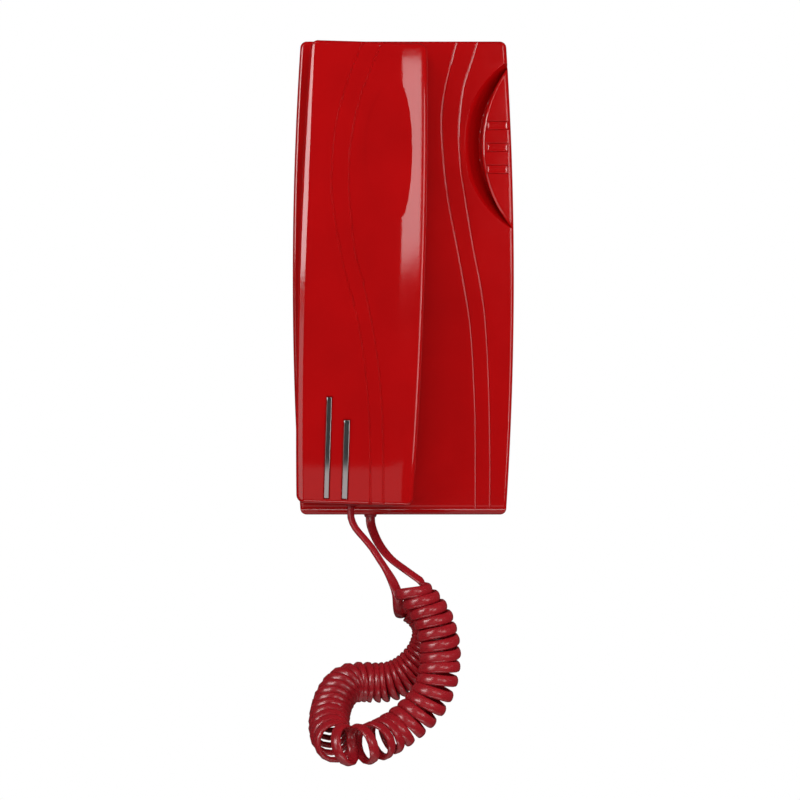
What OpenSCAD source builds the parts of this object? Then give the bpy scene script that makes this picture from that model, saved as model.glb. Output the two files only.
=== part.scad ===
// Slimline wall phone: a shallow wall base, a lift-off handset that leans in its cradle,
// and a curly cord between the two. Millimetres. +X right, +Z up, the front faces -Y,
// and the wall is the plane y = 0. Depths below are distances in front of the wall.

/* [Base] */
// Height of the base
base_height = 214; // [200:1:240]
// Width of the base at half height
base_width = 100; // [96:1:120]
// How much each side draws in towards the ends
base_bow = 3.6; // [0:0.1:5]
// Depth of the base from the wall to its front face
base_depth = 29; // [27:0.5:36]
// Wall thickness of the base covers
base_wall = 2.2; // [1.8:0.1:2.6]
// Radius of the base's corners seen from the front
base_corner = 3; // [2:0.5:6]
// Rounding of the front edge
base_edge = 1.4; // [0.8:0.1:1.6]
// Rounding of the bottom front edge
base_toe = 4.5; // [2:0.5:5]
// Thickness of the rear cover
rear_plate = 2.5; // [2:0.1:3]

/* [Wall fixing] */
// Distance between the two wall screws
wall_hole_spacing = 83.5; // [60:0.5:90]
// Diameter of the wall screw holes
wall_hole_d = 4.5; // [4:0.1:5]
// Diameter of the hole where the line cable comes in
line_hole_d = 14; // [8:0.5:16]

/* [Handset] */
// Length of the handset
handset_length = 205.5; // [200:0.5:225]
// Width of the handset at half length
handset_width = 56; // [54:1:62]
// How much each side of the handset draws in towards the ends
handset_bow = 2.2; // [0:0.1:3]
// Thickness of the handset's body without its cups
handset_thick = 22; // [20:0.5:28]
// Wall thickness of the handset shells
handset_wall = 2; // [1.6:0.1:2.4]
// Radius of the handset's corners seen from the front
handset_corner = 3.5; // [2:0.5:6]
// Rounding of the handset's outer edges
handset_edge = 1.8; // [0.8:0.1:2]
// Lean of the hung handset, its top to the right
handset_lean = 1.8; // [0:0.1:2.5]
// Air between the handset's back and the base's face
handset_gap = 0.8; // [0.5:0.1:2]
// Height of the part of the handset that belongs to the back shell
back_shell_depth = 10; // [9:0.5:12]

/* [Cups] */
// Radius of the ear cup
ear_cup_r = 21; // [19:0.5:22]
// Radius of the mouth cup
mouth_cup_r = 19; // [17:0.5:20]
// How far the cups stand out behind the handset
cup_depth = 8.5; // [7:0.5:9]
// Clearance round a cup in its well
well_clearance = 0.6; // [0.4:0.1:1]
// Gap between a cup's face and the floor of its well
cup_seat_gap = 0.3; // [0.2:0.1:0.6]

/* [Keys] */
// Width of a key
key_width = 9.2; // [8:0.1:9.4]
// Height of a key
key_height = 3.3; // [3:0.1:4.5]
// Distance between neighbouring keys
key_pitch = 9.9; // [8:0.1:12]
// How far a key's face lies below the panel
key_sink = 0.4; // [0.2:0.1:0.8]
// Travel of a key
key_travel = 0.6; // [0.4:0.1:0.8]

/* [Hook] */
// Radius of the hook plunger
plunger_r = 4.5; // [3.5:0.1:5]
// Travel of the hook plunger
plunger_travel = 4; // [3:0.1:4.2]

/* [Cord] */
// Width of the flat cord
cord_width = 4.8; // [4:0.1:5.5]
// Thickness of the flat cord
cord_thick = 2.4; // [2:0.1:3]
// Outer diameter of the curled part
coil_diameter = 18; // [16:0.5:20]

/* [Hidden] */
$fn = 64;

red = [0.72, 0.06, 0.09];
cord_red = [0.62, 0.08, 0.12];
steel = [0.75, 0.75, 0.77];
brass = [0.80, 0.66, 0.34];
black = [0.10, 0.10, 0.11];
board_green = [0.10, 0.36, 0.20];

fit = 0.25;             // clearance between fitted plastic pieces
touch = 0.3;            // gap between pieces that rest on each other across a joint
eps = 0.02;             // overlap that keeps a union or a cut clean
screw_play = 0.05;      // play between a screw and its hole
lift_slope = 30;        // the handset leaves its cradle this many degrees above level

// levels, as distances in front of the wall
face = base_depth;
face_inside = face - base_wall;
handset_back = face + handset_gap;
shell_split = handset_back + back_shell_depth;
handset_front = handset_back + handset_thick;
cup_face = handset_back - cup_depth - handset_gap;
well_floor = cup_face - cup_seat_gap;
board_front = 14.6;     // the main board's component side
board_thick = 1.6;
board_back = board_front - board_thick;
well_rise = (face - well_floor) * tan(lift_slope) + well_clearance;

// the handset hangs round this point of the base, turned by its lean
handset_x = -18.5;
handset_z = 1.25;
ear_z = 72;             // height of the ear cup on the handset
mouth_z = -78;          // height of the mouth cup
tab_z = 30;             // height of the hang tab
tab_w = 8;
tab_t = 2.5;
tab_reach = 6;
plunger_z = -20;        // height of the hook plunger, on the handset's own axis
handset_screw_z = 44;   // the two handset screws sit this far above and below the middle

// main board
board_x = [-36, 22];
board_z = [-34, 34];
board_inset = 4.5;      // from the board's edge to its screws
post_r = 3.2;
board_screw_r = 1.25;

// crescent scoop and the leaf-shaped panel that it sets off
scoop_x = 71.6;
scoop_z = 61;
scoop_r = 43.5;
scoop_depth = 5.5;
scoop_fall = 9.5;       // how far in from its rim the scoop's floor reaches full depth
leaf_x = 93;
leaf_z = 60;
leaf_r = 57;

// keys and their board
key_x = 42.2;           // centre of a key
key_z = 59;             // height of the middle key
key_cap = 2.4;          // thickness of a key's cap, through the front wall
key_rim = 0.8;          // the rim that keeps a key behind the wall
key_board_front = 17.2;
key_board_thick = 1.2;
key_board_x = [29, 45];
key_board_z = [39.5, 79];
switch_body = [6, 3.6, 3.5];
switch_button_r = 1.2;
switch_button_h = 1.2;

// cord
base_exit = [-15, -16];     // where the cord leaves the base, in x and y
handset_exit_x = -1.6;      // and the handset, on its own axis
grommet_r = 3.2;
boot_length = 1.5;

// the lead from the base to the curled part, and the one from the handset
base_lead = [
    [-15, -16, -108.7], [-14.9, -16.2, -111], [-13.9, -17.8, -114.6], [-11, -22, -120.5],
    [-6, -28, -126.5], [0.3, -34, -131.5], [4.4, -38, -133.6], [7, -41.4, -134.4]
];
handset_lead = [
    [-23.4, -41, -102.6], [-23.4, -41, -107.6], [-21.4, -41, -112.3], [-17.6, -41, -116.8],
    [-14, -41, -121.2], [-10.6, -41, -126.4], [-7.6, -40.4, -131.5], [-5.2, -38.6, -137],
    [-4.4, -35.6, -141.6], [-4.3, -32, -145], [-3.6, -28, -147]
];
// the middle line of the curled part, from the base's lead round to the handset's
coil_line = [
    [4, -46, -139], [8, -46.5, -143.5], [11, -47, -148], [13.3, -47, -152.8], [15, -48, -158.4],
    [16.2, -48, -164.4], [16.3, -48, -170.6], [15.6, -49, -176.8], [13.8, -50, -183], [10, -51, -189.6],
    [4, -52, -195.8], [-3.4, -54, -201.2], [-9, -58, -204], [-12.8, -62, -205.2], [-17, -66, -205.6],
    [-22, -68, -205.8], [-27, -66, -205.6], [-30.6, -61, -204.8], [-32.4, -54, -202.2], [-33, -47, -198.2],
    [-32.4, -41, -193.6], [-30.8, -36, -189.2], [-28, -31, -185.4], [-24, -27, -183.2], [-18.6, -25, -182.8],
    [-12.6, -24, -183.2], [-6, -24, -182.6], [0, -24, -180.2], [5.4, -24, -176], [9.6, -24, -171],
    [12, -24, -166], [13, -24, -160.4], [12, -24, -155.2], [8.8, -24, -150.6], [4.4, -24, -147]
];
wire_r = 0.9;
base_wire_line = [
    [-15, -16, -100.6], [-15, -15.9, -99.6], [-15, -15, -97], [-16, -13, -91], [-17, -11, -82], [-17, -10, -66],
    [-14, -9, -50], [-10, -9, -40], [-8, -10, -32], [-8, -12, -28.5]
];
key_wire_line = [
    [37, -15, 42], [34, -13.6, 40], [30, -11.8, 36], [25, -10.6, 30], [20, -10.6, 26], [17, -12.2, 24]
];
receiver_wire_line = [
    [-0.5, -41, -96.4], [-0.4, -41, -95.4], [2, -43, -90], [8, -44, -78], [16, -44, -66], [19, -44, -50], [19, -44, -20],
    [19, -44, 10], [19, -44, 40], [15, -44, 54], [9, -42, 62], [5, -37, 68], [4, -32.6, 71]
];
microphone_wire_line = [
    [-2.7, -41, -96.4], [-2.7, -41, -95.4], [-3.4, -40, -91], [-3, -36, -84], [-1, -31.5, -79.5], [0, -29.2, -78]
];

// ---- shapes that repeat ----

// Half the width of a barrel outline at height z
function barrel_half(width, bow, height, z) = width / 2 - bow * pow(2 * z / height, 2);

// Outline with gently bowed sides, flat ends and round corners, drawn in by inset
function barrel(width, bow, height, corner, inset = 0) =
    let (top = height / 2 - inset,
         r = max(corner - inset, 0.8),
         rise = top - r,
         side = [for (i = [-6 : 6]) [barrel_half(width, bow, height, rise * i / 6) - inset, rise * i / 6]],
         turn = [for (a = [18 : 18 : 90])
             [side[12][0] - r + r * cos(a), rise + r * sin(a)]],
         right = concat([for (i = [4 : -1 : 0]) [turn[i][0], -turn[i][1]]], side, turn))
    concat(right, [for (i = [len(right) - 1 : -1 : 0]) [-right[i][0], right[i][1]]]);

function base_outline(inset = 0) = barrel(base_width, base_bow, base_height, base_corner, inset);
function handset_outline(inset = 0) =
    barrel(handset_width, handset_bow, handset_length, handset_corner, inset);

// Extrudes a front view between two distances from the wall
module slab(back, front) {
    translate([0, -back, 0]) rotate([90, 0, 0]) linear_extrude(front - back) children();
}

// Round rod between two distances from the wall
module rod(r, back, front) {
    translate([0, -back, 0]) rotate([90, 0, 0]) cylinder(r = r, h = front - back);
}

// Block between two distances from the wall, from its low and high corners seen from the front
module block(x, z, back, front) {
    translate([x[0], -front, z[0]]) cube([x[1] - x[0], front - back, z[1] - z[0]]);
}

// Places its children where the handset hangs, on the handset's own axis
module hung() {
    translate([handset_x, 0, handset_z]) rotate([0, handset_lean, 0]) children();
}

// Slot that lets a cup leave along the lift direction
module well_slot(r, z, back, front, rise) {
    for (up = [0, rise]) translate([0, 0, z + up]) rod(r, back, front);
    block([-r, r], [z, z + rise], back, front);
}

// Pan-head screw with a driver slot: the head's seat is at the origin and the shank runs along -Y
module screw(r, length, head_r, head_h) {
    difference() {
        union() {
            rod(r, -eps, length);
            rod(head_r, -head_h, 0);
        }
        block([-head_r, head_r], [-0.3, 0.3], -head_h - eps, -head_h * 0.45);
    }
}

// ---- swept tubes ----

function unit(v) = v / norm(v);
function heading(p, i) = unit(p[min(i + 1, len(p) - 1)] - p[max(i - 1, 0)]);
function square_to(v, t) = unit(v - (v * t) * t);
// One sideways direction for each point, carried along the line without twist
function sideways(p, start) = [
    for (i = 0, s = square_to(start, heading(p, 0)); i < len(p);
         i = i + 1, s = square_to(s, heading(p, min(i, len(p) - 1)))) s
];

// Tube of an oval section along the points p; wide lies along the carried sideways direction
module tube(p, wide, thick, sides, start = [1, 0, 0]) {
    side = sideways(p, start);
    rings = [for (i = [0 : len(p) - 1])
        let (u = side[i], v = cross(heading(p, i), u))
        for (k = [0 : sides - 1])
            p[i] + u * wide / 2 * cos(360 * k / sides) + v * thick / 2 * sin(360 * k / sides)];
    last = (len(p) - 1) * sides;
    polyhedron(points = rings, faces = concat(
        [[for (k = [0 : sides - 1]) k]],
        [[for (k = [sides - 1 : -1 : 0]) last + k]],
        [for (i = [0 : len(p) - 2]) for (k = [0 : sides - 1])
            let (a = i * sides + k, b = i * sides + (k + 1) % sides)
            each [[a, a + sides, b], [b, a + sides, b + sides]]]
    ));
}

// ---- base ----

// Outer form of the base, with its front edge rounded
module base_form() {
    hull() {
        slab(0, face - base_edge) polygon(base_outline());
        slab(face - base_edge, face - base_edge * 0.3) polygon(base_outline(base_edge * 0.3));
        slab(face - 0.1, face) polygon(base_outline(base_edge));
    }
}

// What is cut from the bottom front edge to round it
module toe_cut() {
    translate([-base_width / 2, -face, -base_height / 2]) difference() {
        translate([-1, -1, -1]) cube([base_width + 2, base_toe + 1, base_toe + 1]);
        translate([-2, base_toe, base_toe]) rotate([0, 90, 0]) cylinder(r = base_toe, h = base_width + 4);
    }
}

// The crescent scoop: a cone's floor that falls towards the leaf panel's edge
module scoop_cut(grow = 0) {
    floor_fall = scoop_fall + grow;
    difference() {
        translate([scoop_x, -face - eps, scoop_z]) rotate([-90, 0, 0])
            cylinder(r1 = scoop_r + grow, r2 = scoop_r + grow - floor_fall, h = scoop_depth + grow);
        translate([leaf_x, 0, leaf_z]) rod(leaf_r - grow, 0, grow == 0 ? face + 1 : face_inside);
    }
}

module key_places() {
    for (i = [-1 : 1]) translate([key_x, 0, key_z - i * key_pitch]) children();
}

board_corners = [for (x = [board_x[0] + board_inset, board_x[1] - board_inset])
    for (z = [board_z[0] + board_inset, board_z[1] - board_inset]) [x, z]];
key_posts = [[32, key_board_z[0] + 3], [32, key_board_z[1] - 3]];
cover_screw_x = 20;
cover_screw_y = -8;
cover_screw_head_r = 2.9;
cover_screw_head_h = 1.8;
cover_pad = 4.2;            // thickness of the bottom wall round the cover screw
hook_lug = [9, 1.8, 1.1];   // the rear cover's lugs, which hook into the top wall
hook_lug_x = [-24, 24];
hook_lug_front = 8;

module cradle_walls() {
    hung() {
        well_slot(ear_cup_r + well_clearance + base_wall, ear_z, well_floor - base_wall, face_inside + eps,
            well_rise);
        well_slot(mouth_cup_r + well_clearance + base_wall, mouth_z, well_floor - base_wall,
            face_inside + eps, well_rise);
    }
}

// Bar along the lift direction: the base's hang tab, or with grow the slot that slides off it
module tab_bar(grow, from, to) {
    translate([0, -face, tab_z]) rotate([90 - lift_slope, 0, 0])
        translate([-tab_w / 2 - grow, -tab_t / 2 - grow, from])
            cube([tab_w + 2 * grow, tab_t + 2 * grow, to - from]);
}

module base_front_cover() {
    color(red) difference() {
        union() {
            difference() {
                base_form();
                slab(-1, face_inside) polygon(base_outline(base_wall));
            }
            intersection() {
                union() {
                    cradle_walls();
                    scoop_cut(base_wall);
                    for (c = board_corners)
                        translate([c[0], 0, c[1]]) rod(post_r, board_front, face_inside + eps);
                    for (c = key_posts)
                        translate([c[0], 0, c[1]]) rod(2.6, key_board_front, face_inside + eps);
                    block([cover_screw_x - 5, cover_screw_x + 5],
                        [-base_height / 2, -base_height / 2 + cover_pad], rear_plate + fit, 14);
                }
                union() {
                    slab(rear_plate + fit, face - base_edge) polygon(base_outline(0.4));
                    slab(rear_plate + fit, face - eps) polygon(base_outline(base_edge));
                }
            }
            hung() tab_bar(0, -base_wall, tab_reach);
        }
        toe_cut();
        scoop_cut();
        hung() {
            well_slot(ear_cup_r + well_clearance, ear_z, well_floor, face + 1, well_rise);
            well_slot(mouth_cup_r + well_clearance, mouth_z, well_floor, face + 1, well_rise);
            translate([0, 0, plunger_z]) rod(plunger_r + touch, face_inside - 2, face + 1);
        }
        key_places() {
            block([-key_width / 2 - fit, key_width / 2 + fit], [-key_height / 2 - fit, key_height / 2 + fit],
                key_board_front, face + 1);
            block([-key_width / 2 - key_rim - fit, 0],
                [-key_height / 2 - key_rim - fit, key_height / 2 + key_rim + fit], key_board_front, face_inside);
        }
        for (c = board_corners) translate([c[0], 0, c[1]])
            rod(board_screw_r + screw_play, board_front - 1, board_front + 7);
        for (c = key_posts) translate([c[0], 0, c[1]])
            rod(0.9 + screw_play, key_board_front - 1, key_board_front + 4.5);
        for (x = hook_lug_x) translate([x, 0, 0])
            block([-hook_lug[0] / 2 - fit, hook_lug[0] / 2 + fit],
                [base_height / 2 - base_wall - 1, base_height / 2 - base_wall + hook_lug[2] + fit],
                hook_lug_front - hook_lug[1] - fit, hook_lug_front + fit);
        translate([cover_screw_x, cover_screw_y, -base_height / 2 - 1]) {
            cylinder(r = cover_screw_head_r + fit, h = cover_screw_head_h + 1.2);
            cylinder(r = 1.6, h = 20);
        }
        translate([base_exit[0], base_exit[1], -base_height / 2 - 1]) cylinder(r = grommet_r, h = base_wall + 3);
    }
}

module base_rear_cover() {
    color(red * 0.92) difference() {
        union() {
            slab(0, rear_plate) polygon(base_outline(base_wall + fit));
            difference() {
                slab(0, 7) polygon(base_outline(base_wall + fit));
                slab(rear_plate, 8) polygon(base_outline(base_wall + fit + 1.6));
            }
            block([cover_screw_x - 4.5, cover_screw_x + 4.5],
                [-base_height / 2 + cover_pad + fit, -base_height / 2 + cover_pad + 11], 0, 12.5);
            for (x = hook_lug_x) translate([x, 0, 0]) {
                block([-hook_lug[0] / 2, hook_lug[0] / 2],
                    [base_height / 2 - base_wall - fit - 3, base_height / 2 - base_wall + hook_lug[2]],
                    hook_lug_front - hook_lug[1], hook_lug_front);
                block([-hook_lug[0] / 2, hook_lug[0] / 2],
                    [base_height / 2 - base_wall - fit - 3, base_height / 2 - base_wall - fit],
                    0, hook_lug_front);
            }
        }
        // the front cover's screw pad stands in the rim here
        block([cover_screw_x - 5 - fit, cover_screw_x + 5 + fit],
            [-base_height / 2, -base_height / 2 + cover_pad + fit], rear_plate, 15);
        for (z = [-1, 1]) translate([0, 0, z * wall_hole_spacing / 2]) rod(wall_hole_d / 2, -1, rear_plate + 1);
        rod(line_hole_d / 2, -1, rear_plate + 1);
        translate([cover_screw_x, cover_screw_y, -base_height / 2]) cylinder(r = 1.5 + screw_play, h = 14);
    }
}

module cover_screw() {
    color(steel) translate([cover_screw_x, cover_screw_y, -base_height / 2 + cover_screw_head_h + 0.2])
        rotate([-90, 0, 0]) screw(1.5, 10, cover_screw_head_r, cover_screw_head_h);
}

module main_board() {
    color(board_green) difference() {
        block(board_x, board_z, board_back, board_front);
        for (c = board_corners) translate([c[0], 0, c[1]]) rod(board_screw_r + 0.2, 0, 20);
    }
}

module board_screws() {
    color(steel) for (c = board_corners) translate([c[0], -board_back, c[1]]) screw(board_screw_r, 6.5, 2.6, 1.5);
}

terminal_x = [9, 20];
terminal_z = [-12, 12];
terminal_back = 4.5;
terminal_pitch = 5.8;

module terminal_block() {
    color("royalblue") difference() {
        block(terminal_x, terminal_z, terminal_back, board_back);
        for (i = [-1.5 : 1.5]) {
            translate([terminal_x[0] + 5.5, 0, i * terminal_pitch]) rod(2.1, 0, terminal_back + 3.5);
            block([terminal_x[0] - 1, terminal_x[0] + 4], [i * terminal_pitch - 1.6, i * terminal_pitch + 1.6], 7, 11);
        }
    }
}

module terminal_screws() {
    color(brass) for (i = [-1.5 : 1.5]) translate([terminal_x[0] + 5.5, -terminal_back - 2.2, i * terminal_pitch])
        difference() {
            rod(1.9, 0, 1.3);
            block([-1.9, 1.9], [-0.3, 0.3], -eps, 0.5);
        }
}

module call_buzzer() {
    color(black) translate([-8, 0, 18]) difference() {
        rod(8, board_front, board_front + 8);
        rod(1.3, board_front + 6, board_front + 9);
    }
}

module audio_transformer() {
    color([0.85, 0.72, 0.35]) translate([11, 0, 20]) {
        block([-6.5, 6.5], [-4.5, 4.5], board_front, board_front + 8.5);
        block([-4, 4], [-7, 7], board_front, board_front + 7);
    }
}

module line_capacitor() {
    color([0.15, 0.18, 0.40]) translate([12, 0, -4]) rod(4, board_front, board_front + 9.5);
}

plunger_foot = face_inside - plunger_travel - touch;    // front of the plunger's rim, handset on
plunger_rim_t = 1.5;
hook_switch_h = 3.5;
hook_button_h = 1.4;

module hook_plunger() {
    color(black) hung() translate([0, 0, plunger_z]) {
        rod(plunger_r, plunger_foot - eps, handset_back - touch);
        rod(plunger_r + 2.2, plunger_foot - plunger_rim_t, plunger_foot);
        rod(2, board_front + hook_switch_h + hook_button_h + touch, plunger_foot);
    }
}

// Return spring round the switch, pressed together by the hung handset
module hook_spring() {
    spring_r = plunger_r + 1.2;
    wire = 0.7;
    low = board_front + wire / 2 + 0.1;
    high = plunger_foot - plunger_rim_t - touch - wire / 2;
    turns = 3.5;
    steps = 12;
    line = [for (i = [0 : turns * steps])
        [spring_r * cos(360 * i / steps), -low - (high - low) * i / (turns * steps), spring_r * sin(360 * i / steps)]];
    color(steel) hung() translate([0, 0, plunger_z]) tube(line, wire, wire, 6);
}

module hook_switch() {
    color(black) hung() translate([0, 0, plunger_z]) {
        block([-3, 3], [-3, 3], board_front, board_front + hook_switch_h);
        rod(1.7, board_front + hook_switch_h - eps, board_front + hook_switch_h + hook_button_h);
    }
}

// One key: cap, a rim that keeps it behind the wall, and a stem over its switch
module key(i) {
    stem_end = key_board_front + switch_body[2] + switch_button_h + key_travel + 0.15;
    color(red) translate([key_x, 0, key_z - i * key_pitch]) {
        block([-key_width / 2, key_width / 2], [-key_height / 2, key_height / 2],
            face_inside - touch - 0.8, face - key_sink);
        block([-key_width / 2 - key_rim, 0], [-key_height / 2 - key_rim, key_height / 2 + key_rim],
            face_inside - touch - 0.8, face_inside - touch);
        block([-1.6, 1.6], [-1.2, 1.2], stem_end, face_inside - touch);
    }
}

module key_top() { key(-1); }
module key_middle() { key(0); }
module key_bottom() { key(1); }

module key_board() {
    color(board_green) difference() {
        block(key_board_x, key_board_z, key_board_front - key_board_thick, key_board_front);
        for (c = key_posts) translate([c[0], 0, c[1]]) rod(1.1, 0, 20);
    }
}

module key_switches() {
    color(black) key_places() {
        block([-switch_body[0] / 2, switch_body[0] / 2 - 0.4], [-switch_body[1] / 2, switch_body[1] / 2],
            key_board_front, key_board_front + switch_body[2]);
        rod(switch_button_r, key_board_front + switch_body[2] - eps,
            key_board_front + switch_body[2] + switch_button_h);
    }
}

module key_board_screws() {
    color(steel) for (c = key_posts)
        translate([c[0], -key_board_front + key_board_thick, c[1]]) screw(0.9, 5, 1.8, 1.2);
}

module key_wires() {
    color("gray") tube(key_wire_line, 3.2, 1, 8);
}

// Rubber boot that grips the cord where it comes out of the base
module base_strain_relief() {
    color(cord_red * 0.8) translate([base_exit[0], base_exit[1], -base_height / 2]) {
        translate([0, 0, base_wall]) cylinder(r = grommet_r + 1.6, h = 2);
        translate([0, 0, -eps]) cylinder(r = grommet_r - screw_play, h = base_wall + 4);
        translate([0, 0, -boot_length])
            cylinder(r1 = cord_width / 2 + 0.1, r2 = grommet_r - screw_play, h = boot_length);
    }
}

module base_wires() {
    color("gray") tube(base_wire_line, 2 * wire_r, 2 * wire_r, 8);
}

// ---- handset ----

module handset_form(back, front, edge_back, edge_front) {
    hull() {
        slab(back + edge_back, front - edge_front) polygon(handset_outline());
        slab(back, back + 0.1) polygon(handset_outline(edge_back));
        slab(front - 0.1, front) polygon(handset_outline(edge_front));
    }
}

boss_r = 4.6;
handset_screw_r = 1.4;
cap_r = 3.2;
cap_seat = handset_back + 6;
bar_long = [-12.5, -55.5, -100.4, 2.2];    // centre across, top, bottom, width
bar_short = [-4.4, -65.4, -100.4, 2.5];
bar_recess = 0.8;
bar_stand = 0.25;

module bar_shape(bar, grow, back, front) {
    block([bar[0] - bar[3] / 2 - grow, bar[0] + bar[3] / 2 + grow], [bar[2] - grow, bar[1] + grow], back, front);
}

module handset_front_shell() {
    color(red) hung() difference() {
        union() {
            difference() {
                handset_form(shell_split, handset_front, 0.1, handset_edge);
                slab(0, handset_front - handset_wall) polygon(handset_outline(handset_wall));
            }
            for (s = [-1, 1]) translate([0, 0, s * handset_screw_z])
                rod(boss_r, shell_split, handset_front - handset_wall + eps);
        }
        for (s = [-1, 1]) translate([0, 0, s * handset_screw_z])
            rod(handset_screw_r + screw_play, shell_split - 1, handset_front - handset_wall - 1);
        for (bar = [bar_long, bar_short]) bar_shape(bar, 0.15, handset_front - bar_recess, handset_front + 1);
        translate([handset_exit_x, -shell_split - 1, -handset_length / 2 - 1])
            cylinder(r = grommet_r - 0.4, h = handset_wall + 2);
    }
}

module handset_back_shell() {
    color(red) hung() difference() {
        union() {
            difference() {
                union() {
                    handset_form(handset_back, shell_split, handset_edge, 0.1);
                    translate([0, 0, ear_z]) rod(ear_cup_r, cup_face, handset_back + handset_edge + eps);
                    translate([0, 0, mouth_z]) rod(mouth_cup_r, cup_face, handset_back + handset_edge + eps);
                }
                slab(handset_back + handset_wall, shell_split + 1) polygon(handset_outline(handset_wall));
                translate([0, 0, ear_z]) rod(ear_cup_r - handset_wall, cup_face + handset_wall, shell_split + 1);
                translate([0, 0, mouth_z]) rod(mouth_cup_r - handset_wall, cup_face + handset_wall, shell_split + 1);
            }
            for (s = [-1, 1]) translate([0, 0, s * handset_screw_z])
                rod(boss_r, handset_back + handset_wall - eps, shell_split);
            // collar that holds the microphone's boot
            translate([0, 0, mouth_z]) difference() {
                rod(boot_r + 1.6, cup_face + handset_wall - eps, cup_face + handset_wall + 5);
                rod(boot_r + screw_play, cup_face, cup_face + 20);
            }
        }
        for (s = [-1, 1]) translate([0, 0, s * handset_screw_z]) {
            rod(handset_screw_r + 0.2, handset_back, shell_split + 1);
            rod(cap_r, handset_back - 1, cap_seat);
        }
        translate([0, 0, ear_z]) {
            rod(1, 0, cup_face + handset_wall + 1);
            for (a = [0 : 60 : 300]) rotate([0, a, 0]) translate([6, 0, 0]) rod(1, 0, cup_face + handset_wall + 1);
        }
        for (a = [0 : 120 : 240]) translate([0, 0, mouth_z]) rotate([0, a, 0]) translate([2.4, 0, 0])
            rod(0.8, 0, cup_face + handset_wall + 1);
        translate([handset_exit_x, -shell_split - 1, -handset_length / 2 - 1])
            cylinder(r = grommet_r - 0.4, h = handset_wall + 2);
        tab_bar(0.6, -tab_reach, tab_reach + 2);
    }
}

module handset_screws() {
    color(steel) hung() for (s = [-1, 1]) translate([0, -cap_seat, s * handset_screw_z])
        screw(handset_screw_r, 11, 2.7, 1.6);
}

module screw_caps() {
    color(red) hung() for (s = [-1, 1]) translate([0, 0, s * handset_screw_z])
        rod(cap_r - screw_play, handset_back, handset_back + 1.6);
}

capsule_r = ear_cup_r - 5;
seal_t = 1;
capsule_seat = cup_face + handset_wall + seal_t;
boot_r = 7;
mic_r = 4.85;

module receiver_capsule() {
    color(black) hung() translate([0, 0, ear_z]) {
        rod(capsule_r, capsule_seat, capsule_seat + 4);
        rod(capsule_r - 5, capsule_seat + 4 - eps, capsule_seat + 8);
    }
}

module receiver_seal() {
    color([0.25, 0.25, 0.27]) hung() translate([0, 0, ear_z]) difference() {
        rod(capsule_r + 1, cup_face + handset_wall, capsule_seat);
        rod(capsule_r - 4, 0, capsule_seat + 1);
    }
}

module microphone_capsule() {
    color(steel) hung() translate([0, 0, mouth_z]) rod(mic_r, cup_face + handset_wall + 1, cup_face + handset_wall + 6);
}

module microphone_boot() {
    color([0.25, 0.25, 0.27]) hung() translate([0, 0, mouth_z]) difference() {
        rod(boot_r, cup_face + handset_wall, cup_face + handset_wall + 6.5);
        rod(mic_r + screw_play, cup_face + handset_wall + 1, cup_face + handset_wall + 7);
        rod(3.6, 0, cup_face + 10);
    }
}

module ballast_weight() {
    color(steel) hung()
        block([-16, 12], [-36, 6], handset_back + handset_wall, handset_back + handset_wall + 4.5);
}

module trim_bar_long() {
    color([0.9, 0.9, 0.92]) hung() bar_shape(bar_long, 0, handset_front - bar_recess, handset_front + bar_stand);
}

module trim_bar_short() {
    color([0.9, 0.9, 0.92]) hung() bar_shape(bar_short, 0, handset_front - bar_recess, handset_front + bar_stand);
}

// Grommet held between the two shells at the handset's lower end
module handset_strain_relief() {
    grip_r = grommet_r - 0.4 - screw_play;
    color(cord_red * 0.8) hung() translate([handset_exit_x, -shell_split - 1, -handset_length / 2]) {
        translate([0, 0, -0.8]) cylinder(r = grip_r, h = handset_wall + 4.8);
        translate([0, 0, handset_wall + 0.1]) cylinder(r = grip_r + 1.5, h = 2);
    }
}

module handset_wires() {
    color("gray") hung() {
        tube(receiver_wire_line, 2 * wire_r, 2 * wire_r, 8);
        tube(microphone_wire_line, 2 * wire_r, 2 * wire_r, 8);
    }
}

// ---- cord ----

module cord_lead_base() {
    color(cord_red) tube(base_lead, cord_width, cord_thick, 8, [0.85, 0.53, 0]);
}

module cord_coil() {
    color(cord_red) tube(coil_line, coil_diameter, coil_diameter, 12);
}

module cord_lead_handset() {
    color(cord_red) tube(handset_lead, cord_width, cord_thick, 8, [0.5, 0.87, 0]);
}

base_front_cover();
base_rear_cover();
cover_screw();
main_board();
board_screws();
terminal_block();
terminal_screws();
call_buzzer();
audio_transformer();
line_capacitor();
hook_plunger();
hook_spring();
hook_switch();
key_top();
key_middle();
key_bottom();
key_board();
key_switches();
key_board_screws();
key_wires();
base_strain_relief();
base_wires();
handset_front_shell();
handset_back_shell();
handset_screws();
screw_caps();
receiver_capsule();
receiver_seal();
microphone_capsule();
microphone_boot();
ballast_weight();
trim_bar_long();
trim_bar_short();
handset_strain_relief();
handset_wires();
cord_lead_base();
cord_coil();
cord_lead_handset();
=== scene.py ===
from math import cos, pi, radians, sin, sqrt

import bpy
from mathutils import Matrix, Vector


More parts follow.
